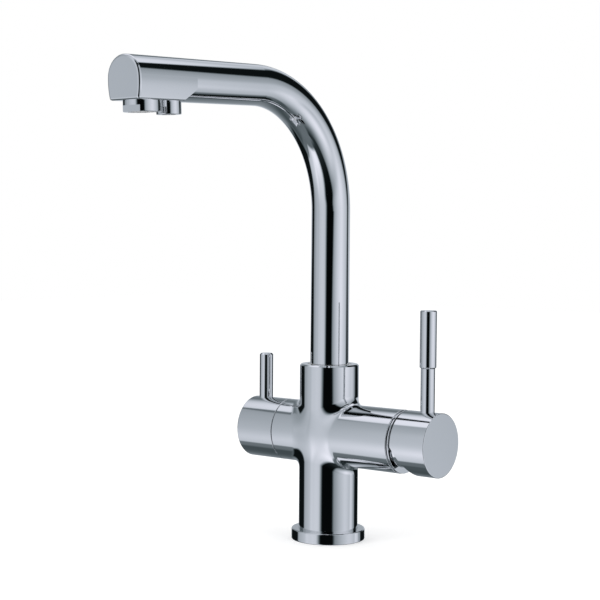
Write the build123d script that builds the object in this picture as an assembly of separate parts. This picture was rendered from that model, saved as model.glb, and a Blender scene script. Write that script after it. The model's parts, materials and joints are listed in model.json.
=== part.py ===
from build123d import *
import math
import os

# A deck-mounted kitchen tap for hot, cold and filtered water.
# Millimetres and degrees. +Z is up, and the origin is the centre of the foot, on the sink deck.
# The mixer handle is on +X, the filter handle on -X, and the spout points to -Y.

# ---- Column, arms and foot ----
column_dia = 43.0
collar_top = 128.0
collar_bevel = 1.0
arm_dia = 45.0
arm_height = 77.0
mixer_arm_end = 65.6
filter_arm_end = 36.0
junction_round = 5.0
arm_end_round = 0.4
flange_dia = 53.5
flange_height = 8.0
flange_round = 0.8
gasket_width = 2.6
gasket_thickness = 1.6
gasket_edge = 1.6

# ---- Clearances ----
running = 0.05
slip = 0.1
open_gap = 0.3
cut_past = 1.0
washer_lap = 1.0

# ---- Interfaces under the foot ----
inlet_thread_r = 4.6
inlet_thread_depth = 14.0
stud_thread_r = 3.4
block_wall = 2.5
block_height = 16.0
stud_edge = 1.6
inlet_edge = 1.3
mixer_inlet_angle = 43.5
filter_inlet_x = 9.0
inlet_waterway_r = 3.8
mixed_waterway_r = 2.8
filter_waterway_r = 3.0
mixed_waterway_setback = 1.0
filter_crossing_height = 2.0

# ---- Spout line ----
tube_dia = 28.0
tube_wall = 1.5
bend_radius = 84.0
reach = 211.0
outlet_axis_height = 317.0
run_fall = 2.5

# ---- Spout bearing in the column ----
bush_wall = 2.0
socket_depth = 31.0
bush_height = 8.0
bush_recess = 0.6
foot_height = 20.0
foot_wall = 1.5
foot_spigot_length = 13.0
foot_wall_gap = 0.4
o_ring_section = 2.6
o_ring_low = 3.0
o_ring_high = 8.6
latch_groove_height = 14.5
latch_groove_width = 3.4
latch_groove_depth = 1.8
latch_screw_r = 1.5
latch_screw_length = 6.0
key_recess_r = 0.8
key_recess_depth = 2.0

# ---- Filtered water line through the spout ----
hose_r = 4.0
hose_bore_r = 2.75
connector_r = 5.0
connector_pocket_depth = 10.0
connector_length = 24.0
connector_bore_r = 1.7
connector_stem_r = 2.7
connector_stem_length = 9.0
connector_ring_height = 3.5
connector_ring_section = 1.6

# ---- Spout head ----
head_length = 54.0
head_flat_length = 40.5
head_shoulder_length = 11.5
head_shoulder_rise = 7.5
head_flank_r = 44.0
head_flank_start = 5.0
head_round = 1.8
head_spigot_length = 9.0
head_port_r = 3.4
head_port_edge = 1.0
head_port_angle = 50.0
head_port_face = 50.0

# ---- Aerator ----
outlet_edge_round = 0.5
aerator_dia = 24.0
aerator_setback = 16.0
aerator_drop = 7.0
aerator_thread_r = 11.0
aerator_thread_length = 7.0
aerator_flats = 19.0
aerator_flat_height = 4.0
aerator_mouth_r = 9.4
aerator_lip = 1.2
aerator_cell = 2.3
aerator_cell_wall = 0.5
aerator_insert_height = 9.0
aerator_washer_thickness = 1.5

# ---- Filtered water nozzle ----
nozzle_dia = 16.0
nozzle_setback = 39.8
nozzle_drop = 8.0
nozzle_thread_r = 6.0
nozzle_thread_length = 6.0
nozzle_bore_r = 4.6
nozzle_insert_height = 5.0
nozzle_insert_recess = 1.5
nozzle_vane = 0.8
nozzle_washer_thickness = 1.2

# ---- Mixer cartridge, measured along the arm from its seat ----
cartridge_seat_depth = 29.6
arm_wall = 3.5
nut_wall = 1.7
shell_wall = 1.5
base_thickness = 4.8
port_seal_r = 4.6
port_seal_section = 1.6
port_r = 2.8
inlet_port_edge = 1.4
inlet_port_angle = 49.4
outlet_port_edge = 3.6
peg_r = 1.6
peg_length = 2.0
fixed_disc_inset = 2.4
fixed_disc_thickness = 3.5
moving_disc_inset = 2.6
moving_disc_thickness = 3.0
disc_land = 1.2
carrier_rim = 0.4
carrier_thickness = 6.25
rotor_inset = 4.0
rotor_flange_thickness = 2.2
pivot_above_carrier = 8.4
neck_wall = 1.5
neck_height = 13.0
neck_lip = 1.4
neck_lip_lap = 1.7
spindle_width = 8.0
paddle_r = 3.2
paddle_depth = 9.0
pivot_pin_r = 1.5
tilt_range = 25.0

# ---- Cartridge nut and dome ring ----
nut_collar_wall = 1.7
nut_collar_height = 4.0
dome_ring_inset = 0.3
dome_ring_step = 1.0
dome_ring_width = 1.2
dome_height = 10.0
dome_lip = 0.9

# ---- Mixer handle ----
mixer_handle_end = 97.0
mixer_rim_gap = 3.4
rim_cut_start = 0.5
rim_cut_slope = 0.62
handle_wall = 2.8
handle_edge_round = 0.5
handle_rim_round = 0.4
hub_r = 7.5
mixer_hub_length = 17.0
lever_setback = 11.5
lever_r = 5.0
lever_joint_height = 53.0
lever_spigot_r = 3.0
grip_r = 5.85
grip_length = 40.0
grip_edge = 0.6
grip_tenon_r = 3.4
grip_tenon_length = 14.0
grub_r = 2.5
grub_length = 3.4
key_hole_r = 1.8

# ---- Filter valve, measured along the other arm from its open end ----
valve_bore_r = 9.5
valve_bore_depth = 23.0
valve_seal_thickness = 2.2
valve_wall = 1.9
valve_disc_thickness = 2.5
valve_chamber_r = 11.5
valve_chamber_width = 5.0
valve_port_r = 1.6
valve_drive_thickness = 1.6
valve_waist_r = 3.0
valve_waist_length = 3.4
valve_thrust_thickness = 1.5
valve_spindle_r = 4.0
valve_hex_flats = 22.0
valve_hex_height = 6.0
valve_neck_r = 7.5
valve_neck_height = 8.0
valve_ring_section = 1.6
valve_ring_spacing = 4.0
circlip_thickness = 1.0
circlip_r = 5.8
circlip_groove_depth = 1.0

# ---- Filter handle ----
filter_handle_end = 69.0
filter_rim_gap = 0.4
filter_hub_length = 13.0
filter_lever_setback = 9.5
filter_lever_r = 5.1
filter_lever_height = 55.5
filter_lever_edge = 1.0

# ---- Derived sizes ----
column_r = column_dia / 2
arm_r = arm_dia / 2
tube_r = tube_dia / 2
tube_bore_r = tube_r - tube_wall
handle_bore_r = arm_r - handle_wall

block_r = column_r - block_wall
stud_offset = block_r - stud_thread_r - stud_edge
inlet_pitch_r = block_r - inlet_thread_r - inlet_edge
mixer_inlet_x = inlet_pitch_r * math.cos(math.radians(mixer_inlet_angle))
mixer_inlet_y = inlet_pitch_r * math.sin(math.radians(mixer_inlet_angle))

socket_r = tube_r + bush_wall
foot_bore_r = tube_bore_r - foot_wall
socket_floor = collar_top - socket_depth
bush_top = collar_top - bush_recess
tube_low = bush_top - bush_height
foot_low = tube_low - foot_height
connector_low = socket_floor - connector_pocket_depth + open_gap
hose_low = connector_low + connector_length - connector_stem_length

head_port_pitch_r = tube_bore_r - head_port_r - head_port_edge
head_port_offset_x = head_port_pitch_r * math.cos(math.radians(head_port_angle))
head_port_offset_z = head_port_pitch_r * math.sin(math.radians(head_port_angle))

nut_thread_r = arm_r - arm_wall
cartridge_r = nut_thread_r - nut_wall
rotor_r = cartridge_r - rotor_inset
fixed_disc_r = cartridge_r - shell_wall - fixed_disc_inset
inlet_port_pitch_r = fixed_disc_r - port_r - inlet_port_edge
inlet_port_rise = inlet_port_pitch_r * math.cos(math.radians(inlet_port_angle))
inlet_port_spread = inlet_port_pitch_r * math.sin(math.radians(inlet_port_angle))
outlet_port_drop = fixed_disc_r - port_r - outlet_port_edge
moving_disc_r = fixed_disc_r - moving_disc_inset
carrier_r = moving_disc_r + carrier_rim
neck_mouth_r = rotor_r - neck_lip_lap
dome_band_r = arm_r - dome_ring_inset
seat_x = mixer_arm_end - cartridge_seat_depth
base_top = seat_x + base_thickness
fixed_disc_top = base_top + fixed_disc_thickness
moving_disc_low = fixed_disc_top + running
moving_disc_top = moving_disc_low + moving_disc_thickness
carrier_top = moving_disc_top + carrier_thickness
pivot_x = carrier_top + pivot_above_carrier
paddle_x = pivot_x - paddle_depth
rotor_low = carrier_top + open_gap
rotor_flange_top = rotor_low + rotor_flange_thickness
neck_low = rotor_flange_top + slip
shell_cavity_r = cartridge_r - shell_wall
neck_bore_r = rotor_r + running
neck_r = neck_bore_r + neck_wall
neck_shoulder = neck_low + shell_wall
shell_top = neck_shoulder + neck_height
rotor_top = shell_top - neck_lip - slip
nut_bore_r = neck_r + slip
nut_collar_r = nut_bore_r + nut_collar_wall
nut_top = mixer_arm_end + nut_collar_height
dome_r = handle_bore_r - 2 * open_gap
dome_top = pivot_x + dome_height
ring_low = mixer_arm_end + dome_ring_step
ring_high = ring_low + dome_ring_width
rim_x = mixer_arm_end + mixer_rim_gap
lever_x = mixer_handle_end - lever_setback
hub_low = mixer_handle_end - handle_wall - mixer_hub_length
spindle_end = mixer_handle_end - handle_wall - 2 * handle_wall
disc_ratio = paddle_depth * math.sin(math.radians(tilt_range)) / math.radians(tilt_range)

valve_floor = filter_arm_end - valve_bore_depth
valve_low = valve_floor + valve_seal_thickness
valve_disc_r = valve_bore_r - slip - valve_wall
valve_drive_low = valve_low + 2 * valve_disc_thickness + running
valve_waist_low = valve_drive_low + valve_drive_thickness
valve_thrust_low = valve_waist_low + valve_waist_length
valve_shaft_low = valve_thrust_low + valve_thrust_thickness
valve_gland_low = valve_shaft_low + slip
valve_hex_top = filter_arm_end + valve_hex_height
valve_neck_top = valve_hex_top + valve_neck_height
circlip_low = valve_neck_top + open_gap
filter_rim_x = filter_arm_end + filter_rim_gap
filter_lever_x = filter_handle_end - filter_lever_setback
filter_hub_low = filter_handle_end - handle_wall - filter_hub_length
filter_spindle_end = filter_handle_end - 2 * handle_wall

# ---- Frames ----
# In an arm's frame, local Z runs outwards along the arm and local X points up.
mixer_frame = Plane((0, 0, arm_height), x_dir=(0, 0, 1), z_dir=(1, 0, 0)).location
filter_frame = Plane((0, 0, arm_height), x_dir=(0, 0, 1), z_dir=(-1, 0, 0)).location
# In the head's frame, local Y runs back from the end face along the spout, and local Z is up.
head_frame = Location((0, -reach, outlet_axis_height), (run_fall, 0, 0))

LOW = (Align.CENTER, Align.CENTER, Align.MIN)


# ---- Small builders ----
def rod(radius, low, high):
    """A round bar on the local Z axis."""
    return Pos(0, 0, low) * Cylinder(radius, high - low, align=LOW)


def ring(outer, inner, low, high):
    """A plain ring on the local Z axis."""
    return rod(outer, low, high) - rod(inner, low, high)


def prism(size_x, size_y, low, high):
    """A rectangular bar centred on the local Z axis."""
    return Pos(0, 0, low) * Box(size_x, size_y, high - low, align=LOW)


def hexagon(across_flats, low, high):
    """A six-sided bar on the local Z axis."""
    outline = RegularPolygon(across_flats / 2, 6, major_radius=False)
    return Pos(0, 0, low) * extrude(outline, high - low)


def o_ring(centre_r, section, height):
    """A round-section ring whose centre circle lies at the given radius and height."""
    return Pos(0, 0, height) * Torus(centre_r, section / 2)


def groove(outer, depth, middle, width):
    """The ring to cut from a shaft for a seal."""
    return ring(outer + cut_past, outer - depth, middle - width / 2, middle + width / 2)


def drill(start, end, radius):
    """A round hole between two points."""
    line = Vector(*end) - Vector(*start)
    plane = Plane(start, z_dir=line)
    return plane.location * rod(radius, 0, line.length)


def end_edges(shape, height):
    """The edges of a shape that lie flat at one local height."""
    return shape.edges().filter_by_position(Axis.Z, height - 0.01, height + 0.01)


def bar(radius, low, high, edge):
    """A round bar with its upper edge bevelled."""
    shape = rod(radius, low, high)
    return chamfer(end_edges(shape, high), edge)


# ---- Column ----
def junction_edges(shape):
    """The curved seams where the arms run into the column."""
    return [
        edge
        for edge in shape.edges()
        if edge.geom_type not in (GeomType.CIRCLE, GeomType.LINE)
    ]


def body_blank():
    column = rod(column_r, 0, collar_top)
    arms = rod(arm_r, -filter_arm_end, mixer_arm_end)
    arms = fillet(arms.edges().filter_by(GeomType.CIRCLE), arm_end_round)
    blank = column + mixer_frame * arms
    blank = fillet(junction_edges(blank), junction_round)
    return chamfer(end_edges(blank, collar_top), collar_bevel)


def supply_waterways():
    """The waterways from the inlet block up to the two valve seats."""
    port_height = arm_height + inlet_port_rise
    holes = []
    for side in (1, -1):
        foot = Pos(mixer_inlet_x, side * mixer_inlet_y, 0)
        holes.append(foot * rod(inlet_waterway_r, block_height - cut_past, port_height + port_r))
        start = (mixer_inlet_x, side * inlet_port_spread, port_height)
        end = (seat_x + cut_past, side * inlet_port_spread, port_height)
        holes.append(drill(start, end, port_r))
    filter_riser = rod(filter_waterway_r, block_height - cut_past, arm_height)
    holes.append(Pos(-filter_inlet_x, 0, 0) * filter_riser)
    valve_start = (-filter_inlet_x, 0, arm_height)
    valve_end = (-valve_floor - cut_past, 0, arm_height)
    holes.append(drill(valve_start, valve_end, filter_waterway_r))
    return holes


def outlet_passages():
    """Waterways from the two valves up to the spout socket."""
    mixed_height = arm_height - outlet_port_drop
    mixed_x = socket_r - mixed_waterway_r - mixed_waterway_setback
    filtered_x = -(valve_waist_low + valve_waist_length / 2)
    pocket = socket_floor - connector_pocket_depth
    filtered_start = (filtered_x, 0, arm_height + valve_bore_r)
    return [
        drill((mixed_x, 0, mixed_height), (seat_x + cut_past, 0, mixed_height), port_r),
        Pos(mixed_x, 0, 0) * rod(mixed_waterway_r, mixed_height - port_r, socket_floor + cut_past),
        rod(connector_r + running, pocket, socket_floor + cut_past),
        drill(filtered_start, (0, 0, pocket + filter_crossing_height), connector_bore_r),
    ]


def cartridge_hole():
    seat = rod(cartridge_r + slip, seat_x, mixer_arm_end)
    thread = rod(nut_thread_r + slip, neck_shoulder - open_gap, mixer_arm_end)
    hole = seat + thread
    peg = rod(peg_r + slip, seat_x - peg_length - slip, seat_x)
    for side in (1, -1):
        hole += Pos(0, side * peg_offset(), 0) * peg
    return mixer_frame * hole


def peg_offset():
    """Distance of each cartridge peg from the arm's axis."""
    return cartridge_r - shell_wall - peg_r


def valve_hole():
    chamber_middle = valve_waist_low + valve_waist_length / 2
    chamber_low = chamber_middle - valve_chamber_width / 2
    hole = rod(valve_bore_r, valve_floor, filter_arm_end)
    hole += rod(valve_chamber_r, chamber_low, chamber_low + valve_chamber_width)
    return filter_frame * hole


def latch_height():
    return foot_low + latch_groove_height


def body_casting():
    body = body_blank()
    body -= rod(block_r, 0, block_height)
    for hole in supply_waterways() + outlet_passages():
        body -= hole
    body -= cartridge_hole()
    body -= valve_hole()
    body -= rod(socket_r, socket_floor, collar_top)
    back = (0, column_r + cut_past, latch_height())
    body -= drill(back, (0, socket_r - cut_past, latch_height()), latch_screw_r + slip)
    return body


def inlet_places():
    """The centres of the hot, cold and filtered water inlets."""
    return (
        (mixer_inlet_x, mixer_inlet_y),
        (mixer_inlet_x, -mixer_inlet_y),
        (-filter_inlet_x, 0),
    )


def inlet_block():
    """The block pressed into the column's foot, with the threads for three hoses and two studs."""
    block = rod(block_r - running / 2, 0, block_height)
    for x, y in inlet_places():
        block -= Pos(x, y, 0) * rod(inlet_thread_r, 0, inlet_thread_depth)
        block -= Pos(x, y, 0) * rod(filter_waterway_r, 0, block_height)
    for side in (1, -1):
        block -= Pos(0, side * stud_offset, 0) * rod(stud_thread_r, 0, block_height)
    return block


def base_flange():
    flange = rod(flange_dia / 2, 0, flange_height)
    flange = fillet(flange.edges().filter_by(GeomType.CIRCLE), flange_round)
    return flange - rod(column_r + slip, 0, flange_height) - gasket_groove(slip)


def gasket_groove(extra):
    outer = flange_dia / 2 - gasket_edge
    inner = outer - gasket_width
    return ring(outer + extra, inner - extra, 0, gasket_thickness + extra)


def base_gasket():
    return gasket_groove(0)


# ---- Spout ----
def run_slope():
    return math.tan(math.radians(run_fall))


def spout_corner_height():
    """Where the run's centre line would meet the column's axis."""
    return outlet_axis_height + reach * run_slope()


def head_back(distance):
    """The point on the spout's centre line at a distance back from the end face."""
    angle = math.radians(run_fall)
    return (0, -reach + distance * math.cos(angle), outlet_axis_height + distance * math.sin(angle))


def spout_path(low, back):
    """The centre line from a height in the column to a distance back from the end face."""
    points = [(0, 0, low), (0, 0, spout_corner_height()), head_back(back)]
    return FilletPolyline(*points, radius=bend_radius)


def swept_bar(path, radius):
    plane = Plane(path @ 0, z_dir=path % 0)
    return sweep(plane * Circle(radius), path=path)


def spout_tube():
    path = spout_path(tube_low, head_length)
    return swept_bar(path, tube_r) - swept_bar(path, tube_bore_r)


def spout_foot():
    """The brass foot that the tube is brazed to, which turns in the column."""
    foot_r = socket_r - foot_wall_gap
    foot = rod(foot_r, foot_low, tube_low)
    foot += rod(tube_bore_r, tube_low, tube_low + foot_spigot_length)
    foot -= rod(foot_bore_r, foot_low, tube_low + foot_spigot_length)
    for height in (o_ring_low, o_ring_high):
        depth = o_ring_section - foot_wall_gap + slip
        foot -= groove(foot_r, depth, foot_low + height, o_ring_section + slip)
    foot -= groove(foot_r, latch_groove_depth, latch_height(), latch_groove_width)
    return foot


def spout_o_rings():
    centre = socket_r - running - o_ring_section / 2
    rings = [o_ring(centre, o_ring_section, foot_low + h) for h in (o_ring_low, o_ring_high)]
    return Compound(rings)


def spout_bush():
    return ring(socket_r - running, tube_r + running, tube_low + slip, bush_top)


def spout_latch_screw():
    """The grub screw at the back whose nose runs in the foot's groove."""
    nose = socket_r - foot_wall_gap - latch_groove_depth + open_gap
    end = nose + latch_screw_length
    recess_start = (0, end, latch_height())
    screw = drill((0, nose, latch_height()), recess_start, latch_screw_r)
    return screw - drill(recess_start, (0, end - key_recess_depth, latch_height()), key_recess_r)


def filter_hose():
    path = spout_path(hose_low, head_port_face - hose_r)
    outer = swept_bar(path, hose_r)
    return outer - swept_bar(path, hose_bore_r)


def filter_connector():
    """The turning plug that feeds filtered water from the column into the hose."""
    top = connector_low + connector_length
    plug = rod(connector_r, connector_low, hose_low - slip)
    plug += rod(connector_stem_r, hose_low - slip, top)
    plug -= rod(connector_bore_r, connector_low, top)
    middle = connector_low + connector_ring_height
    depth = connector_ring_section
    return plug - groove(connector_r, depth, middle, connector_ring_section + slip)


def connector_o_ring():
    centre = connector_r - connector_ring_section / 2
    return o_ring(centre, connector_ring_section, connector_low + connector_ring_height)


def connector_spider():
    """The three-legged guide that centres the turning plug in the spout's foot."""
    low = foot_low
    high = hose_low - slip
    outer = foot_bore_r - running
    spider = ring(connector_r + tube_wall, connector_r, low, high)
    spider += ring(outer, outer - tube_wall, low, high)
    leg = Pos((connector_r + outer) / 2, 0, low)
    leg *= Box(outer - connector_r, 2 * tube_wall, high - low, align=LOW)
    for turn in (0, 120, 240):
        spider += Rot(0, 0, turn) * leg
    return spider - rod(connector_r, low, high) - ring(2 * outer, outer, low, high)


# ---- Spout head, in its own frame ----
def flank_point(angle):
    """A point on the head's right flank, whose bow leaves the round top without a crease."""
    start = math.radians(head_flank_start)
    bow = tube_r - head_flank_r
    x = bow * math.cos(start) + head_flank_r * math.cos(angle)
    y = bow * math.sin(start) + head_flank_r * math.sin(angle)
    return x, y


def head_section():
    """A round top, bowed flanks and a flat bottom."""
    start = math.radians(head_flank_start)
    bow_drop = tube_r + (tube_r - head_flank_r) * math.sin(start)
    low = -math.asin(bow_drop / head_flank_r)
    right = [flank_point(angle) for angle in (start, (start + low) / 2, low)]
    left = [(-x, y) for x, y in right]
    arch = ThreePointArc(right[0], (0, tube_r), left[0])
    bottom = Line(left[2], right[2])
    outline = [arch, ThreePointArc(*left), bottom, ThreePointArc(*right)]
    return Plane.XZ * make_face([line.edge() for line in outline])


def rod_along_spout(radius, near, far):
    """A round bar on the head's centre line, between two distances from the end face."""
    return drill((0, near, 0), (0, far, 0), radius)


def head_blank():
    block_end = head_flat_length + head_shoulder_length
    block = extrude(head_section(), -block_end)
    rounded = block.edges().filter_by_position(Axis.Y, -0.01, 0.01)
    rounded += block.edges().filter_by(Axis.Y).filter_by_position(Axis.Z, -tube_r - 0.01, -tube_r + 0.01)
    block = fillet(rounded, head_round)
    slope = head_shoulder_rise / head_shoulder_length
    reach_down = 2 * tube_r
    profile = Polyline(
        (head_flat_length, -tube_r),
        (block_end, -tube_r + head_shoulder_rise),
        (block_end + cut_past, -tube_r + head_shoulder_rise + slope * cut_past),
        (block_end + cut_past, -reach_down),
        (head_flat_length, -reach_down),
        close=True,
    )
    side = Plane((-tube_dia, 0, 0), x_dir=(0, 1, 0), z_dir=(1, 0, 0))
    shoulder = extrude(side * make_face(profile), 2 * tube_dia)
    return block - shoulder + rod_along_spout(tube_r, head_flat_length, head_length)


def head_ports():
    """The filtered water bore on the centre line and the two mixed water bores above it."""
    ports = [
        rod_along_spout(hose_r + running, head_port_face - 2 * hose_r, head_port_face),
        rod_along_spout(hose_bore_r, nozzle_setback - hose_bore_r, head_port_face),
    ]
    for side in (1, -1):
        x = side * head_port_offset_x
        start = (x, aerator_setback, head_port_offset_z)
        ports.append(drill(start, (x, head_port_face + cut_past, head_port_offset_z), head_port_r))
    return ports


def spout_head():
    head = head_blank()
    head += rod_along_spout(tube_bore_r, head_length - cut_past, head_length + head_spigot_length)
    open_r = tube_bore_r - tube_wall
    head -= rod_along_spout(open_r, head_port_face, head_length + head_spigot_length)
    for port in head_ports():
        head -= port
    aerator_top = -tube_r + aerator_thread_length + aerator_washer_thickness
    head -= aerator_place() * rod(aerator_thread_r, -tube_r, aerator_top)
    chamber_r = head_port_offset_x + head_port_r / 2
    head -= aerator_place() * rod(chamber_r, -tube_r, head_port_offset_z)
    nozzle_top = -tube_r + nozzle_thread_length + nozzle_washer_thickness
    head -= nozzle_place() * rod(nozzle_thread_r, -tube_r, nozzle_top)
    head -= nozzle_place() * rod(hose_bore_r, -tube_r, 0)
    return head_frame * head


def aerator_place():
    return Pos(0, aerator_setback, 0)


def nozzle_place():
    return Pos(0, nozzle_setback, 0)


def honeycomb(radius, low, high):
    """A disc pierced by a staggered grid of square cells."""
    disc = rod(radius, low, high)
    pitch = aerator_cell + aerator_cell_wall
    count = int(radius // pitch)
    cells = []
    for row in range(-count, count + 1):
        for column in range(-count - 1, count + 1):
            x = (column + (row % 2) / 2) * pitch
            y = row * pitch
            corner = math.hypot(abs(x) + aerator_cell / 2, abs(y) + aerator_cell / 2)
            if corner < radius - aerator_cell_wall:
                cells.append(Pos(x, y, 0) * prism(aerator_cell, aerator_cell, low, high))
    return disc - cells


def in_aerator(shape):
    return head_frame * aerator_place() * shape


def aerator_housing():
    low = -tube_r - aerator_drop
    housing = rod(aerator_dia / 2, low, -tube_r)
    housing = fillet(end_edges(housing, low), outlet_edge_round)
    cut_width = aerator_dia - aerator_flats
    flat_top = low + aerator_flat_height
    for side in (1, -1):
        middle = side * (aerator_flats + cut_width) / 2
        housing -= Pos(0, middle, 0) * prism(aerator_dia, cut_width, low - cut_past, flat_top)
    housing += rod(aerator_thread_r - slip, -tube_r, -tube_r + aerator_thread_length)
    housing -= rod(aerator_mouth_r - aerator_lip / 2, low, low + aerator_lip)
    housing -= rod(aerator_mouth_r, low + aerator_lip, -tube_r + aerator_thread_length)
    return in_aerator(housing)


def aerator_insert():
    low = -tube_r - aerator_drop + aerator_lip
    body_r = aerator_mouth_r - running
    core = honeycomb(body_r - aerator_cell_wall, low, low + aerator_insert_height)
    shell = ring(body_r, body_r - aerator_cell_wall, low, low + aerator_insert_height)
    return in_aerator(core + shell)


def aerator_washer():
    low = -tube_r + aerator_thread_length
    high = low + aerator_washer_thickness
    return in_aerator(ring(aerator_thread_r - slip, aerator_mouth_r - washer_lap, low, high))


def in_nozzle(shape):
    return head_frame * nozzle_place() * shape


def filter_nozzle():
    """The chrome outlet for filtered water, shaped at its top to sit on the round of the head."""
    low = -tube_r - nozzle_drop
    nozzle = rod(nozzle_dia / 2, low, -tube_r + head_shoulder_rise / 2)
    nozzle = fillet(end_edges(nozzle, low), outlet_edge_round)
    head = Pos(0, -nozzle_setback, 0) * head_blank()
    nozzle = nozzle - head
    nozzle += rod(nozzle_thread_r - slip, -tube_r - cut_past, -tube_r + nozzle_thread_length)
    return in_nozzle(nozzle - rod(nozzle_bore_r, low, -tube_r + nozzle_thread_length))


def nozzle_insert():
    """The crossed vanes that straighten the filtered stream."""
    low = -tube_r - nozzle_drop + nozzle_insert_recess
    high = low + nozzle_insert_height
    outer = nozzle_bore_r - running
    insert = ring(outer, outer - nozzle_vane, low, high)
    for turn in (0, 60, 120):
        vane = Rot(0, 0, turn) * prism(2 * outer - nozzle_vane, nozzle_vane, low, high)
        insert += vane
    return in_nozzle(insert)


def nozzle_washer():
    low = -tube_r + nozzle_thread_length
    return in_nozzle(ring(nozzle_thread_r - slip, hose_bore_r, low, low + nozzle_washer_thickness))


# ---- Mixer cartridge, in the mixer arm's frame ----
def inlet_port(side, radius, low, high):
    return Pos(inlet_port_rise, side * inlet_port_spread, 0) * rod(radius, low, high)


def outlet_port(radius, low, high):
    return Pos(-outlet_port_drop, 0, 0) * rod(radius, low, high)


def all_ports(radius, low, high):
    return [
        inlet_port(1, radius, low, high),
        inlet_port(-1, radius, low, high),
        outlet_port(radius, low, high),
    ]


def cartridge_base():
    """The cartridge's foot plate, with pegs into the casting and a groove round each port."""
    plate = rod(cartridge_r, seat_x, seat_x + shell_wall)
    plate += rod(shell_cavity_r - running, seat_x, base_top)
    for side in (1, -1):
        plate += Pos(0, side * peg_offset(), 0) * rod(peg_r, seat_x - peg_length, seat_x)
    holes = all_ports(port_r, seat_x, base_top)
    holes += all_ports(port_seal_r + slip, seat_x, seal_top())
    for hole in holes:
        plate -= hole
    return mixer_frame * plate


def seal_top():
    return seat_x + port_seal_section


def cartridge_port_seals():
    outers = all_ports(port_seal_r, seat_x, seal_top())
    inners = all_ports(port_r, seat_x, seal_top())
    seals = Part()
    for outer, inner in zip(outers, inners):
        seals += outer - inner
    return mixer_frame * seals


def fixed_ceramic_disc():
    disc = rod(fixed_disc_r, base_top, fixed_disc_top)
    for hole in all_ports(port_r, base_top, fixed_disc_top):
        disc -= hole
    return mixer_frame * disc


def moving_ceramic_disc():
    """The sliding disc, whose under-face pocket joins the inlets to the outlet when it rises."""
    disc = rod(moving_disc_r, moving_disc_low, moving_disc_top)
    pocket_top = moving_disc_low + moving_disc_thickness / 2
    pocket = rod(moving_disc_r - disc_land, moving_disc_low, pocket_top)
    land = prism(2 * moving_disc_r, 2 * moving_disc_r, moving_disc_low, pocket_top)
    land_edge = inlet_port_rise - port_r - disc_land
    pocket -= Pos(land_edge + moving_disc_r, 0, 0) * land
    return mixer_frame * (disc - pocket)


def disc_carrier():
    carrier = rod(carrier_r, moving_disc_top, carrier_top)
    slot_low = paddle_x - paddle_r - open_gap
    slot = prism(2 * (paddle_r + open_gap / 2), spindle_width + 2 * slip, slot_low, carrier_top)
    return mixer_frame * (carrier - slot)


def cartridge_shell():
    """The plastic shell: a wide chamber for the discs and a neck for the rotor."""
    shell = rod(cartridge_r, seat_x + shell_wall, neck_shoulder)
    shell += rod(neck_r, neck_shoulder, shell_top)
    shell -= rod(shell_cavity_r, seat_x + shell_wall, neck_low)
    shell -= rod(neck_bore_r, neck_low, shell_top - neck_lip)
    shell -= rod(neck_mouth_r, shell_top - neck_lip, shell_top)
    return mixer_frame * shell


def spindle_sweep_half(height):
    """Half the slot that the spindle needs in the rotor at a height above or below its pivot."""
    return spindle_width / 2 + abs(height) * math.tan(math.radians(tilt_range)) + 2 * open_gap


def cartridge_rotor():
    """The sleeve that turns with the handle and carries the pivot pin."""
    rotor = rod(shell_cavity_r - running, rotor_low, rotor_flange_top)
    rotor += rod(rotor_r, rotor_flange_top, rotor_top)
    half = spindle_sweep_half(rotor_top - pivot_x)
    slot = prism(2 * half, spindle_width + 2 * running, rotor_low, rotor_top)
    rotor -= slot
    rotor -= pivot_bar(pivot_pin_r, 2 * rotor_r)
    return mixer_frame * rotor


def pivot_bar(radius, length):
    """A bar across the arm through the lever's pivot."""
    return Pos(0, 0, pivot_x) * Rot(90, 0, 0) * Cylinder(radius, length)


def pivot_pin():
    return mixer_frame * (pivot_bar(pivot_pin_r, 2 * rotor_r) & rod(rotor_r, rotor_low, rotor_top))


def mixer_spindle():
    """The square spindle, with a round paddle that pushes the disc carrier."""
    spindle = prism(spindle_width, spindle_width, pivot_x - paddle_depth / 2, spindle_end)
    waist = prism(spindle_width / 2, spindle_width, paddle_x, pivot_x)
    paddle = Pos(0, 0, paddle_x) * Rot(90, 0, 0) * Cylinder(paddle_r, spindle_width)
    spindle += waist + paddle
    return mixer_frame * (spindle - pivot_bar(pivot_pin_r + running, 2 * spindle_width))


def cartridge_nut():
    """The nut that clamps the cartridge into the arm."""
    nut = rod(nut_thread_r, neck_shoulder, mixer_arm_end)
    nut += rod(nut_collar_r, mixer_arm_end, nut_top)
    return mixer_frame * (nut - rod(nut_bore_r, neck_shoulder, nut_top))


def dome_ring():
    """The polished ring seen beside the handle, whose dome lets the cup tilt over it."""
    dome = Pos(0, 0, pivot_x) * Sphere(dome_r) & rod(dome_r, mixer_arm_end, dome_top)
    step = rod(dome_band_r - dome_ring_step, mixer_arm_end, ring_low)
    band = rod(dome_band_r, ring_low, ring_high)
    band = fillet(band.edges().filter_by(GeomType.CIRCLE), dome_ring_width / 4)
    shape = dome + step + band
    shape -= rod(nut_collar_r + slip, mixer_arm_end, nut_top + slip)
    shape -= rod(nut_bore_r, mixer_arm_end, shell_top + slip)
    return mixer_frame * (shape - rod(nut_bore_r - dome_lip, mixer_arm_end, dome_top))


# ---- Handles ----
def cup(rim, end, hub_low_end, bore):
    """A round cup along the arm, with a hub on the inside of its end wall."""
    shape = rod(arm_r, rim, end)
    shape = fillet(end_edges(shape, end), handle_edge_round)
    shape = fillet(end_edges(shape, rim), handle_rim_round)
    shape -= rod(handle_bore_r, rim, end - handle_wall)
    shape += rod(hub_r, hub_low_end, end - handle_wall)
    return shape - bore


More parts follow.
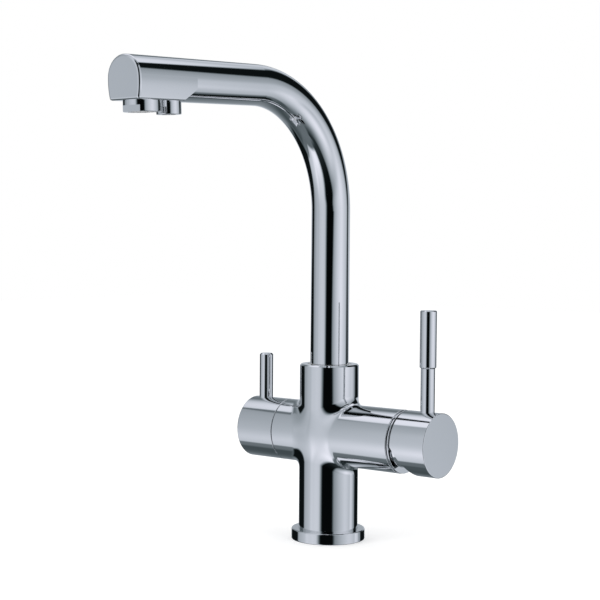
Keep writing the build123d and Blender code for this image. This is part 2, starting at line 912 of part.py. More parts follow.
def side_drill(radius, place, low, high):
    """A hole or bar that stands square to the arm, on its upper side."""
    return Pos(0, 0, place) * Rot(0, 90, 0) * rod(radius, low, high)


def grub_hole(place, low):
    """The screw thread in the hub and the key hole in the cup's wall, both on the lower side."""
    thread = side_drill(grub_r, place, -hub_r, -low)
    return thread + side_drill(key_hole_r, place, -arm_r - cut_past, -handle_bore_r + cut_past)


def rim_cut():
    """The slanted cut that gives the lower rim room when the handle tilts."""
    drop = arm_r + cut_past
    outline = Polyline(
        (-rim_cut_start, rim_x - cut_past),
        (-rim_cut_start, rim_x),
        (-drop, rim_x + rim_cut_slope * (drop - rim_cut_start)),
        (-drop, rim_x - cut_past),
        close=True,
    )
    side = Plane((0, -arm_dia, 0), x_dir=(1, 0, 0), z_dir=(0, -1, 0))
    face = make_face(outline)
    return extrude(side * face, 2 * arm_dia, both=True)


def mixer_handle():
    hole_width = spindle_width + 2 * running
    hole = prism(hole_width, hole_width, hub_low, spindle_end + slip)
    handle = cup(rim_x, mixer_handle_end, hub_low, hole)
    handle -= rim_cut()
    handle -= side_drill(lever_spigot_r + running, lever_x, 0, arm_r + cut_past)
    return mixer_frame * (handle - grub_hole(lever_x, 0))


def saddle_bar(radius, place, top, edge):
    """A lever that stands on the cup's round side, with a spigot down into the hub."""
    stem = bar(radius, handle_bore_r, top, edge)
    stem = Pos(0, 0, place) * Rot(0, 90, 0) * stem
    return stem - rod(arm_r, place - 2 * radius, place + 2 * radius)


def mixer_lever():
    lever = saddle_bar(lever_r, lever_x, lever_joint_height, grip_edge / 2)
    tenon_top = lever_joint_height + grip_tenon_length
    lever += side_drill(grip_tenon_r, lever_x, lever_joint_height - cut_past, tenon_top)
    lever += side_drill(lever_spigot_r, lever_x, spindle_width / 2 + slip, arm_r + cut_past)
    return mixer_frame * lever


def mixer_lever_grip():
    grip = rod(grip_r, lever_joint_height + slip, lever_joint_height + grip_length)
    grip = chamfer(grip.edges().filter_by(GeomType.CIRCLE), grip_edge)
    bore_top = lever_joint_height + grip_tenon_length + slip
    grip -= rod(grip_tenon_r + running, lever_joint_height, bore_top)
    return mixer_frame * Pos(0, 0, lever_x) * Rot(0, 90, 0) * grip


def grub_screw(place, nose):
    """A short socket screw in a hub, pressing on the spindle from below."""
    tail = -nose - grub_length
    screw = side_drill(grub_r - running, place, tail, -nose)
    return screw - side_drill(key_recess_r, place, tail, tail + key_recess_depth)


def mixer_grub_screw():
    return mixer_frame * grub_screw(lever_x, spindle_width / 2)


# ---- Filter valve, in the filter arm's frame ----
def disc_with_windows(low, high):
    """A ceramic disc with two quarter windows."""
    disc = rod(valve_disc_r - slip, low, high)
    for side in (1, -1):
        disc -= Pos(side * valve_disc_r / 2, 0, 0) * rod(valve_disc_r / 4, low, high)
    return disc


def filter_valve_seal():
    return filter_frame * ring(valve_bore_r - slip, filter_waterway_r + washer_lap, valve_floor, valve_low)


def filter_fixed_disc():
    return filter_frame * disc_with_windows(valve_low, valve_low + valve_disc_thickness)


def filter_moving_disc():
    """The turning disc, which stands crosswise to the fixed one while the valve is shut."""
    low = valve_low + valve_disc_thickness + running
    return filter_frame * Rot(0, 0, 90) * disc_with_windows(low, low + valve_disc_thickness)


def filter_valve_body():
    body = rod(valve_bore_r - slip, valve_low, filter_arm_end)
    body += hexagon(valve_hex_flats, filter_arm_end, valve_hex_top)
    body += rod(valve_neck_r, valve_hex_top, valve_neck_top)
    body -= rod(valve_disc_r, valve_low, valve_gland_low)
    body -= rod(valve_spindle_r + running, valve_gland_low, valve_neck_top)
    port_middle = valve_waist_low + valve_waist_length / 2
    for turn in range(0, 360, 90):
        body -= Rot(0, 0, turn) * side_drill(valve_port_r, port_middle, 0, valve_bore_r + cut_past)
    return filter_frame * body


def seal_places():
    """Places of the two spindle seals along the gland."""
    first = valve_gland_low + valve_ring_spacing
    return (first, first + valve_ring_spacing)


def filter_spindle():
    spindle = rod(valve_disc_r - open_gap, valve_drive_low, valve_waist_low)
    spindle += rod(valve_waist_r, valve_waist_low, valve_thrust_low)
    spindle += rod(valve_disc_r - open_gap, valve_thrust_low, valve_shaft_low)
    spindle += rod(valve_spindle_r, valve_shaft_low, filter_spindle_end)
    for place in seal_places():
        spindle -= groove(valve_spindle_r, valve_ring_section, place, valve_ring_section + slip)
    clip_middle = circlip_low + circlip_thickness / 2
    clip_width = circlip_thickness + slip
    spindle -= groove(valve_spindle_r, circlip_groove_depth, clip_middle, clip_width)
    return filter_frame * spindle


def filter_spindle_seals():
    centre = valve_spindle_r - valve_ring_section / 2
    rings = [o_ring(centre, valve_ring_section, place) for place in seal_places()]
    return filter_frame * Compound(rings)


def filter_circlip():
    inner = valve_spindle_r - circlip_groove_depth + running
    high = circlip_low + circlip_thickness
    gap = Pos(-circlip_r, 0, 0) * prism(2 * circlip_r, inner, circlip_low, high)
    return filter_frame * (ring(circlip_r, inner, circlip_low, high) - gap)


def filter_handle():
    hole = rod(valve_spindle_r + running, filter_hub_low, filter_spindle_end + slip)
    handle = cup(filter_rim_x, filter_handle_end, filter_hub_low, hole)
    handle -= side_drill(lever_spigot_r + running, filter_lever_x, 0, arm_r + cut_past)
    return filter_frame * (handle - grub_hole(filter_lever_x, 0))


def filter_lever():
    lever = saddle_bar(filter_lever_r, filter_lever_x, filter_lever_height, filter_lever_edge)
    lever += side_drill(lever_spigot_r, filter_lever_x, valve_spindle_r + slip, arm_r + cut_past)
    return filter_frame * lever


def filter_grub_screw():
    return filter_frame * grub_screw(filter_lever_x, valve_spindle_r)


PIECES = [
    body_casting,
    inlet_block,
    base_flange,
    base_gasket,
    spout_tube,
    spout_foot,
    spout_o_rings,
    spout_bush,
    spout_latch_screw,
    filter_hose,
    filter_connector,
    connector_o_ring,
    connector_spider,
    spout_head,
    aerator_housing,
    aerator_insert,
    aerator_washer,
    filter_nozzle,
    nozzle_insert,
    nozzle_washer,
    cartridge_base,
    cartridge_port_seals,
    fixed_ceramic_disc,
    moving_ceramic_disc,
    disc_carrier,
    cartridge_shell,
    cartridge_rotor,
    pivot_pin,
    mixer_spindle,
    cartridge_nut,
    dome_ring,
    mixer_handle,
    mixer_lever,
    mixer_lever_grip,
    mixer_grub_screw,
    filter_valve_seal,
    filter_fixed_disc,
    filter_moving_disc,
    filter_valve_body,
    filter_spindle,
    filter_spindle_seals,
    filter_circlip,
    filter_handle,
    filter_lever,
    filter_grub_screw,
]

os.makedirs("parts", exist_ok=True)
for piece in PIECES:
    export_step(piece(), f"parts/{piece.__name__}.step")
print(f"pivot x {pivot_x:.3f}, disc ratio {disc_ratio:.4f} mm/rad, pieces {len(PIECES)}")
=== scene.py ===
import json
import math

import bpy
from mathutils import Matrix, Vector


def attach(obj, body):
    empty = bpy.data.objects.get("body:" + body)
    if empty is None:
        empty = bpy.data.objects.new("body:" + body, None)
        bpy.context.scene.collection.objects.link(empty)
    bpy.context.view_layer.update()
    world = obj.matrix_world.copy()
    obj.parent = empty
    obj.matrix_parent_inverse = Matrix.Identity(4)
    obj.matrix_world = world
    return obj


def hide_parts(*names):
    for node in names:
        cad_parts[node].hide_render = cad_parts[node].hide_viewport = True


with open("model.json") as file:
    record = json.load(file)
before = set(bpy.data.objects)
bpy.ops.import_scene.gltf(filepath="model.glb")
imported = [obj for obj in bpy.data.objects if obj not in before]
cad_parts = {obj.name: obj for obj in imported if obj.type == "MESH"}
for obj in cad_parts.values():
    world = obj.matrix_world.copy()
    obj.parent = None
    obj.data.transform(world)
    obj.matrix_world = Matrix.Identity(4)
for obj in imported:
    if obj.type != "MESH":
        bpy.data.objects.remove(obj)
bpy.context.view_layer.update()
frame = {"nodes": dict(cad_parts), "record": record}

# ---- The photograph's camera: metres, pixels, and millimetres for its sensor ----
CAMERA_PLACE = Vector((0.641066, -0.846589, 0.221756))
CAMERA_RIGHT = Vector((0.78438939, 0.62021754, 0.00796807))
CAMERA_UP = Vector((-0.03401302, 0.03018234, 0.99896554))
FOCAL_PIXELS = 1462.172
PICTURE_WIDTH = 600
SENSOR_WIDTH = 36.0
CAMERA_NEAR = 0.05
CAMERA_FAR = 50.0

# ---- The studio: metres, degrees, and levels of light where the white background is 1 ----
CAMERA_SIDE = 38.313
TENT_RADIUS = 4.0
TENT_HEIGHT = 0.18
TENT_SEGMENTS = 64
TENT_RINGS = 32
TENT_BLUE = 1.10
WINDOW_LEVEL = 0.45
GLOW_LEVEL = 0.08
SHADE_DEPTH = 0.40
LINE_COVER = 0.75
FLAG_LEVEL = 0.006
WORLD_LIGHT = 0.80
FLOOR_HALF = 3.0
FLOOR_GREY = 0.93
FLOOR_LIFT = 0.30

# Each lamp's name, place, width in metres and power in watts.
LAMPS = (
    ("left_lamp", (-0.9, -1.6, 1.5), 1.2, 9.0),
    ("right_lamp", (1.8, 0.1, 1.3), 1.0, 6.0),
)

# ---- Materials: two close tones and the lowest and highest roughness ----
TURNED_METALS = {
    "brass": ((0.70, 0.52, 0.25), (0.76, 0.59, 0.31), 0.22, 0.36),
    "stainless_steel": ((0.58, 0.58, 0.59), (0.66, 0.66, 0.67), 0.25, 0.40),
}
# The same, and the depth of the grain in metres.
MOULDINGS = {
    "black_rubber": ((0.022, 0.022, 0.024), (0.04, 0.04, 0.042), 0.55, 0.75, 0.00002),
    "white_plastic": ((0.82, 0.82, 0.80), (0.88, 0.88, 0.86), 0.32, 0.46, 0.00001),
    "grey_plastic": ((0.42, 0.43, 0.45), (0.48, 0.49, 0.51), 0.34, 0.48, 0.00001),
    "ceramic": ((0.90, 0.89, 0.85), (0.95, 0.94, 0.90), 0.10, 0.20, 0.000002),
}

# ---- The casting, as in the solids. The sides are the ends of its plain skin along x ----
COLUMN_R = 0.0215
ARM_R = 0.0225
ARM_HEIGHT = 0.077
COLLAR_BEVEL_START = 0.127
MIXER_ARM_SIDE = 0.0652
FILTER_ARM_SIDE = -0.0356
LATCH_HEIGHT = 0.1139
LATCH_HOLE_R = 0.0016

# ---- Its blend: where it runs, and how much it adds along the seam at most ----
BLEND = 0.0064
BLEND_RISE = BLEND / 4
SEAM_COLUMN_R = COLUMN_R + BLEND_RISE
SEAM_ARM_R = ARM_R + BLEND_RISE
BLEND_REACH = 0.0310
BLEND_TOP = 0.1090
BLEND_FOOT = 0.0450

# ---- The mesh of the blended skin ----
TURN_STEPS = 192
QUARTER_TURN = TURN_STEPS // 4
BLEND_STEPS = 26
STRIP_STEPS = 10
LATCH_PATCH_STEPS = 4
COLUMN_EASE = 1.5
ARM_EASE = 1.4
LEAST_SKIN_R = 0.018
MOST_SKIN_R = 0.030
SKIN_HALVINGS = 26
SLOPE_STEP = 1e-6
POINT_DIGITS = 7
EDGE_SLACK = 1e-5
SKIN_SLACK = 2e-5


def make_camera():
    data = bpy.data.cameras.new("camera")
    data.sensor_width = SENSOR_WIDTH
    data.lens = FOCAL_PIXELS / PICTURE_WIDTH * SENSOR_WIDTH
    data.clip_start = CAMERA_NEAR
    data.clip_end = CAMERA_FAR
    camera = bpy.data.objects.new("camera", data)
    right = CAMERA_RIGHT.normalized()
    back = right.cross(CAMERA_UP).normalized()
    up = back.cross(right)
    turn = Matrix((right, up, back)).transposed().to_4x4()
    camera.matrix_world = Matrix.Translation(CAMERA_PLACE) @ turn
    bpy.context.scene.collection.objects.link(camera)
    bpy.context.scene.camera = camera


# ---- Node helpers ----
class Nodes:
    """A small wrapper that makes shader nodes readable."""

    def __init__(self, tree):
        self.tree = tree
        tree.nodes.clear()

    def add(self, kind, inputs=None, **settings):
        node = self.tree.nodes.new(kind)
        for name, value in settings.items():
            setattr(node, name, value)
        for name, value in (inputs or {}).items():
            self.put(node.inputs[name], value)
        return node

    def put(self, socket, value):
        if isinstance(value, bpy.types.NodeSocket):
            self.tree.links.new(value, socket)
        else:
            socket.default_value = value

    def math(self, operation, a, b=0.0):
        node = self.add("ShaderNodeMath", operation=operation)
        self.put(node.inputs[0], a)
        self.put(node.inputs[1], b)
        return node.outputs[0]

    def times(self, a, b):
        return self.math("MULTIPLY", a, b)

    def rise(self, value, middle, soft):
        """0 below a value and 1 above it, with a soft edge that wide. The middle may vary."""
        node = self.add("ShaderNodeMapRange", interpolation_type="SMOOTHSTEP")
        self.put(node.inputs["Value"], self.math("SUBTRACT", value, middle))
        self.put(node.inputs["From Min"], -soft / 2)
        self.put(node.inputs["From Max"], soft / 2)
        return node.outputs["Result"]

    def band(self, value, low, high, soft_low, soft_high):
        """1 between two values, with soft edges."""
        return self.times(self.rise(value, low, soft_low),
                          self.math("SUBTRACT", 1.0, self.rise(value, high, soft_high)))

    def curve(self, value, stops):
        """A level that follows a list of (place, level) stops. Negative levels are allowed."""
        low, high = stops[0][0], stops[-1][0]
        floor = min(level for place, level in stops)
        span = max(level for place, level in stops) - floor
        place = self.add("ShaderNodeMapRange")
        self.put(place.inputs["Value"], value)
        self.put(place.inputs["From Min"], low)
        self.put(place.inputs["From Max"], high)
        node = self.add("ShaderNodeValToRGB")
        node.color_ramp.interpolation = "B_SPLINE"
        elements = node.color_ramp.elements
        while len(elements) > 1:
            elements.remove(elements[-1])
        for number, (where, level) in enumerate(stops):
            spot = (where - low) / (high - low)
            element = elements[0] if number == 0 else elements.new(spot)
            element.position = spot
            share = (level - floor) / span
            element.color = (share, share, share, 1)
        self.put(node.inputs["Fac"], place.outputs["Result"])
        return self.math("ADD", self.times(node.outputs["Color"], span), floor)

    def over(self, below, above, cover):
        """One level laid over another. Several of this node's sockets share a name."""
        node = self.add("ShaderNodeMix", data_type="FLOAT")
        self.put(node.inputs[0], cover)
        self.put(node.inputs[2], below)
        self.put(node.inputs[3], above)
        return node.outputs[0]

    def noise(self, where, scale, detail):
        node = self.add("ShaderNodeTexNoise", {"Vector": where, "Scale": scale, "Detail": detail})
        return node.outputs["Fac"]

    def stretched(self, where, scale):
        """Coordinates squeezed by a factor along each axis."""
        node = self.add("ShaderNodeMapping", {"Vector": where, "Scale": scale})
        return node.outputs["Vector"]


def new_material(name):
    material = bpy.data.materials.new(name)
    material.use_nodes = True
    return material, Nodes(material.node_tree)


def surface(n, shader):
    out = n.add("ShaderNodeOutputMaterial")
    n.put(out.inputs["Surface"], shader.outputs[0])


# ---- Studio ----
def background_rays(n):
    """1 for the rays that see the plain background: camera, glossy and transmission rays."""
    path = n.add("ShaderNodeLightPath")
    seen = n.math("MAXIMUM", path.outputs["Is Camera Ray"], path.outputs["Is Glossy Ray"])
    return n.math("MAXIMUM", seen, path.outputs["Is Transmission Ray"])


def plain_world():
    world = bpy.data.worlds.new("studio")
    bpy.context.scene.world = world
    world.use_nodes = True
    n = Nodes(world.node_tree)
    strength = n.over(WORLD_LIGHT, 1.0, background_rays(n))
    light = n.add("ShaderNodeBackground", {"Color": (1, 1, 1, 1), "Strength": strength})
    out = n.add("ShaderNodeOutputWorld")
    n.put(out.inputs["Surface"], light.outputs[0])


def tent_directions(n):
    """Azimuth from the camera's side, positive to its right, and elevation, both in degrees."""
    coord = n.add("ShaderNodeTexCoord")
    unit = n.add("ShaderNodeVectorMath", operation="NORMALIZE")
    n.put(unit.inputs[0], coord.outputs["Object"])
    parts = n.add("ShaderNodeSeparateXYZ")
    n.put(parts.inputs[0], unit.outputs[0])
    x, y, z = parts.outputs
    azimuth = n.math("DEGREES", n.math("ARCTAN2", x, n.times(y, -1.0)))
    return azimuth, n.math("DEGREES", n.math("ARCSINE", z))


def tent_wall(n, azimuth, elevation):
    """The studio all round, where no panel or flag covers it, with a window behind the tap."""
    front = n.curve(elevation, [
        (-90, 0.16), (-74, 0.18), (-60, 0.13), (-38, 0.22), (-24, 0.34), (-10, 0.60), (2, 0.62),
        (12, 0.34), (24, 0.21), (33, 0.16), (38, 0.26), (43, 0.56), (48, 0.76), (54, 0.92),
        (90, 0.90),
    ])
    back = n.curve(elevation, [
        (-90, 0.16), (-75, 0.16), (-65, 0.12), (-55, 0.07), (-47, 0.09), (-36, 0.19),
        (-25, 0.27), (-15, 0.33), (-6, 0.60), (0, 0.62),
    ])
    behind = n.rise(n.math("ABSOLUTE", azimuth), 116, 12)
    lower_back = n.times(behind, n.rise(n.times(elevation, -1.0), 4, 8))
    window = n.times(n.band(azimuth, 150, 177, 10, 4), n.band(elevation, 21, 40, 8, 8))
    return n.math("ADD", n.over(front, back, lower_back), n.times(window, WINDOW_LEVEL))


def left_panel(n, azimuth, elevation):
    """The level and cover of the soft panel on the camera's left, with a faint glow."""
    level = n.curve(azimuth, [
        (-116, 0.33), (-105, 0.36), (-95, 0.40), (-86, 0.435), (-79, 0.47), (-73, 0.585),
        (-65, 0.61), (-55, 0.66), (-45, 0.66), (-35, 0.60), (-24, 0.55),
    ])
    outer = n.curve(elevation, [
        (-66, 1.35), (-52, 1.50), (-42, 1.56), (-31, 1.60), (-24, 1.46), (-18, 1.31),
        (-12, 1.18), (-6, 1.07), (2, 1.0), (15, 0.96), (30, 1.02), (60, 1.0),
    ])
    inner = n.curve(elevation, [
        (-66, 1.35), (-55, 1.55), (-46, 1.50), (-35, 1.28), (-25, 1.13), (-15, 1.10), (-6, 1.0),
        (8, 1.0), (15, 0.95), (30, 1.05), (60, 1.0),
    ])
    level = n.times(level, n.over(outer, inner, n.rise(azimuth, -66, 16)))
    glow = n.times(n.band(azimuth, -98, -80.5, 16, 8), n.band(elevation, -8, 12, 22, 24))
    level = n.math("ADD", level, n.times(glow, GLOW_LEVEL))
    edge = n.curve(elevation, [
        (-70, -87), (-55, -92), (-45, -94.5), (-37, -108), (-20, -117), (30, -118), (38, -108),
        (46, -100), (60, -96),
    ])
    sides = n.times(n.band(azimuth, edge, -20, 8, 5), n.rise(elevation, -62, 7))
    return level, sides


def right_panel(n, azimuth, elevation):
    """The level and cover of the soft panel on the camera's right, with a shade at its edge."""
    level = n.curve(azimuth, [
        (8, 0.22), (16, 0.33), (25, 0.48), (35, 0.63), (45, 0.74), (55, 0.80), (65, 0.89),
        (75, 0.82), (84, 0.735), (92, 0.66), (99, 0.612), (104, 0.54), (109, 0.475),
        (116, 0.46),
    ])
    near = n.curve(elevation, [
        (-75, 0.06), (-65, 0.10), (-55, 0.24), (-45, 0.52), (-35, 0.76), (-25, 0.90),
        (-17, 0.66), (-11, 0.70), (-6, 1.0), (0, 1.02), (20, 0.72), (50, 0.60),
    ])
    far = n.curve(elevation, [
        (-75, 0.18), (-65, 0.25), (-55, 0.50), (-45, 0.85), (-35, 1.08), (-25, 1.16),
        (-17, 0.86), (-11, 0.78), (-6, 1.0), (0, 1.02), (20, 0.74), (35, 0.62), (60, 0.66),
    ])
    side = n.curve(elevation, [
        (-75, 0.18), (-65, 0.25), (-55, 0.50), (-45, 0.85), (-35, 1.08), (-25, 1.24),
        (-18, 1.30), (-11, 1.10), (-5, 1.04), (2, 1.0), (7, 0.89), (11, 0.76), (16, 0.71),
        (22, 0.66), (28, 0.60), (36, 0.60), (60, 0.66),
    ])
    shares = n.over(n.over(near, far, n.rise(azimuth, 55, 70)), side, n.rise(azimuth, 92, 8))
    level = n.times(level, shares)
    shade = n.times(n.rise(azimuth, 109.35, 1.5), n.band(elevation, -16, 8, 8, 8))
    level = n.times(level, n.math("SUBTRACT", 1.0, n.times(shade, SHADE_DEPTH)))
    edge = n.curve(elevation, [
        (-60, 112), (-45, 116), (-30, 122), (-15, 118), (20, 117), (60, 117),
    ])
    sides = n.times(n.band(azimuth, 6, edge, 6, 8), n.rise(elevation, -76, 8))
    return level, sides


def tent_flags(n, azimuth, elevation):
    """The cover of the right flag, of the left flag with a thin line above it, and of the gap
    round the camera with the dark ceiling."""
    flag_low = n.curve(elevation, [
        (-45, 132), (-25, 121), (-15, 120), (-6, 117), (0, 114), (15, 115), (25, 110.2),
        (35, 103.2), (45, 100), (56, 99),
    ])
    flag_high = n.curve(elevation, [
        (-45, 150), (-20, 156), (-12, 168), (-6, 148), (0, 126), (5, 130), (14, 157), (25, 157),
        (34, 156), (41, 153), (46, 142), (51, 120), (57, 101),
    ])
    right_flag = n.band(azimuth, flag_low, flag_high, 7, 16)
    right_flag = n.times(right_flag, n.band(elevation, -43, 54, 8, 4))
    left_edge = n.curve(elevation, [
        (-60, -110), (-13, -108), (-7, -113), (-1, -115), (36, -119),
    ])
    left_start = n.curve(elevation, [
        (-60, -150), (-20, -152), (-12, -168), (-5, -164), (0, -146), (36, -146),
    ])
    left_flag = n.band(azimuth, left_start, left_edge, 14, 8)
    left_flag = n.times(left_flag, n.band(elevation, -42, 10, 7, 6))
    gap_left = n.curve(elevation, [
        (-70, -26), (-55, -25), (-45, -25), (-35, -26), (-25, -29), (-17, -32), (-11, -33),
        (-6, -28.5), (0, -29.5), (70, -29),
    ])
    gap_right = n.curve(elevation, [
        (-75, 32), (-60, 27), (-50, 20), (-40, 16), (-20, 16), (-11, 18), (-6, 11), (-2, 11.5),
        (3, 20), (70, 19),
    ])
    gap = n.times(n.band(azimuth, gap_left, gap_right, 16, 10), n.band(elevation, -68, 66, 14, 12))
    ceiling = n.times(n.band(azimuth, -12, 84, 10, 12), n.band(elevation, 50, 61, 4, 5))
    line = n.times(n.band(azimuth, -112, -99, 6, 10), n.band(elevation, 43.5, 48, 3, 3))
    left_flag = n.math("MAXIMUM", left_flag, n.times(line, LINE_COVER))
    return right_flag, left_flag, n.math("MAXIMUM", gap, ceiling)


def tent_pattern(n):
    """The level of light that the tent shows in each direction."""
    azimuth, elevation = tent_directions(n)
    level = tent_wall(n, azimuth, elevation)
    level = n.over(level, *left_panel(n, azimuth, elevation))
    level = n.over(level, *right_panel(n, azimuth, elevation))
    right_flag, left_flag, gap = tent_flags(n, azimuth, elevation)
    dark = n.curve(elevation, [(-66, 0.032), (-48, 0.018), (-30, 0.004), (0, 0.0015)])
    level = n.over(level, dark, gap)
    level = n.over(level, FLAG_LEVEL, right_flag)
    return n.over(level, FLAG_LEVEL, left_flag)


def light_tent():
    """The studio that the chrome reflects. Only glossy and transmission rays meet it."""
    bpy.ops.mesh.primitive_uv_sphere_add(
        segments=TENT_SEGMENTS, ring_count=TENT_RINGS, radius=TENT_RADIUS)
    tent = bpy.context.object
    tent.name = "light_tent"
    tent.location = (0, 0, TENT_HEIGHT)
    tent.rotation_euler = (0, 0, math.radians(CAMERA_SIDE))
    material, n = new_material("light_tent")
    level = tent_pattern(n)
    warmth = n.curve(level, [
        (0, 0.68), (0.06, 0.76), (0.13, 0.83), (0.25, 0.88), (0.45, 0.915), (0.68, 0.945),
        (0.90, 0.985), (1.2, 1.0),
    ])
    color = n.add("ShaderNodeCombineColor", {"Red": warmth, "Green": 1.0, "Blue": TENT_BLUE})
    glow = n.add("ShaderNodeEmission", {"Color": color.outputs[0], "Strength": level})
    surface(n, glow)
    tent.data.materials.append(material)
    tent.visible_camera = False
    tent.visible_diffuse = False
    tent.visible_shadow = False
    tent.visible_volume_scatter = False


def pale_floor():
    """A pale floor that shows as the white background, darkened only by the tap's shadow."""
    bpy.ops.mesh.primitive_plane_add(size=2 * FLOOR_HALF)
    floor = bpy.context.object
    floor.name = "floor"
    material, n = new_material("pale_floor")
    diffuse = n.add("ShaderNodeBsdfDiffuse", {"Color": (FLOOR_GREY, FLOOR_GREY, FLOOR_GREY, 1)})
    lift = n.add("ShaderNodeEmission", {"Strength": n.times(background_rays(n), FLOOR_LIFT)})
    both = n.add("ShaderNodeAddShader")
    n.put(both.inputs[0], diffuse.outputs[0])
    n.put(both.inputs[1], lift.outputs[0])
    surface(n, both)
    floor.data.materials.append(material)
    floor.visible_glossy = False


def soft_lamp(name, place, size, watts):
    """A large soft lamp aimed at the tap's middle. The chrome sees the tent's panels instead."""
    data = bpy.data.lights.new(name, "AREA")
    data.shape = "DISK"
    data.size = size
    data.energy = watts
    lamp = bpy.data.objects.new(name, data)
    lamp.location = place
    aim = Vector((0, 0, TENT_HEIGHT)) - Vector(place)
    lamp.rotation_euler = aim.to_track_quat("-Z", "Y").to_euler()
    lamp.visible_glossy = False
    lamp.visible_camera = False
    bpy.context.scene.collection.objects.link(lamp)


# ---- Materials ----
def principled(n, metallic=0.0):
    shader = n.add("ShaderNodeBsdfPrincipled")
    shader.inputs["Metallic"].default_value = metallic
    return shader


def object_place(n):
    return n.add("ShaderNodeTexCoord").outputs["Object"]


def tinted(n, shader, amount, first, second):
    """A base colour that drifts between two close tones. The node's sockets share names."""
    node = n.add("ShaderNodeMix", data_type="RGBA")
    n.put(node.inputs[0], amount)
    n.put(node.inputs[6], (*first, 1))
    n.put(node.inputs[7], (*second, 1))
    n.put(shader.inputs["Base Color"], node.outputs[2])


def bumped(n, shader, height, depth):
    """A relief that deep, in metres."""
    node = n.add("ShaderNodeBump", {"Height": height, "Strength": 1.0, "Distance": depth})
    n.put(shader.inputs["Normal"], node.outputs[0])


def chrome():
    """Mirror chrome over buffed brass, with a trace of buffing waves and drifts of haze."""
    material, n = new_material("polished_chrome")
    shader = principled(n, metallic=1.0)
    place = object_place(n)
    drift = n.noise(place, scale=14.0, detail=3.0)
    grain = n.noise(n.stretched(place, (300.0, 300.0, 40.0)), scale=6.0, detail=2.0)
    tinted(n, shader, drift, (0.815, 0.823, 0.835), (0.835, 0.842, 0.85))
    haze = n.curve(drift, [(0.30, 0.034), (0.5, 0.042), (0.70, 0.062)])
    n.put(shader.inputs["Roughness"], n.math("ADD", haze, n.times(grain, 0.012)))
    bumped(n, shader, n.noise(place, scale=55.0, detail=1.0), depth=0.000004)
    surface(n, shader)
    return material


def turned_metal(name, first, second, low, high):
    """Machined metal with fine tool lines and a dull drift."""
    material, n = new_material(name)
    shader = principled(n, metallic=1.0)
    place = object_place(n)
    drift = n.noise(place, scale=60.0, detail=4.0)
    lines = n.noise(n.stretched(place, (1.0, 1.0, 60.0)), scale=90.0, detail=2.0)
    tinted(n, shader, drift, first, second)
    n.put(shader.inputs["Roughness"], n.curve(lines, [(0.3, low), (0.7, high)]))
    bumped(n, shader, lines, depth=0.00001)
    surface(n, shader)
    return material


def moulded(name, first, second, low, high, relief):
    """A moulded material with a fine satin grain."""
    material, n = new_material(name)
    shader = principled(n)
    place = object_place(n)
    grain = n.noise(place, scale=900.0, detail=3.0)
    tinted(n, shader, n.noise(place, scale=70.0, detail=4.0), first, second)
    n.put(shader.inputs["Roughness"], n.curve(grain, [(0.3, low), (0.7, high)]))
    bumped(n, shader, grain, relief)
    surface(n, shader)
    return material


def slot_materials():
    """The material of each slot in the record."""
    materials = {"polished_chrome": chrome()}
    for name, look in TURNED_METALS.items():
        materials[name] = turned_metal(name, *look)
    for name, look in MOULDINGS.items():
        materials[name] = moulded(name, *look)
    return materials


# ---- The casting's skin ----
# The column and the arms run into each other without a crease, as in a polished casting.
def plain_levels(point):
    """How far a point lies outside the plain column, and outside the plain arms."""
    column = math.hypot(point[0], point[1]) - COLUMN_R
    arm = math.hypot(point[1], point[2] - ARM_HEIGHT) - ARM_R
    return column, arm


def blend_level(point):
    """How far a point lies outside the blended column and arms."""
    column, arm = plain_levels(point)
    near = max(BLEND - abs(column - arm), 0.0) / BLEND
    return min(column, arm) - near * near * BLEND_RISE


def blend_normal(point):
    """The outward direction of the blended skin at a point."""
    slopes = []
    for axis in range(3):
        ahead, behind = list(point), list(point)
        ahead[axis] += SLOPE_STEP
        behind[axis] -= SLOPE_STEP
        slopes.append(blend_level(ahead) - blend_level(behind))
    return Vector(slopes).normalized()


def skin_point(start, way):
    """The point where a ray from the casting's inside meets its skin."""
    low, high = LEAST_SKIN_R, MOST_SKIN_R
    for _ in range(SKIN_HALVINGS):
        middle = (low + high) / 2
        if blend_level([s + w * middle for s, w in zip(start, way)]) < 0:
            low = middle
        else:
            high = middle
    return tuple(s + w * low for s, w in zip(start, way))


def steps_between(low, high, count, ease=1.0):
    """Places from low to high, closer together near low where ease is above 1."""
    return [low + (high - low) * (number / count) ** ease for number in range(count + 1)]


def turn_angle(number):
    """The angle of one of the steps round the column."""
    return 2 * math.pi * number / TURN_STEPS


def column_point(angle, height):
    """A point on the plain column."""
    return (COLUMN_R * math.cos(angle), COLUMN_R * math.sin(angle), height)


def seam_point(angle, side, up):
    """A point on the seam between column and arm. Side and up are 1 or -1."""
    y = SEAM_COLUMN_R * math.sin(angle)
    rise = math.sqrt(SEAM_ARM_R ** 2 - y ** 2)
    return (side * SEAM_COLUMN_R * math.cos(angle), y, ARM_HEIGHT + up * rise)


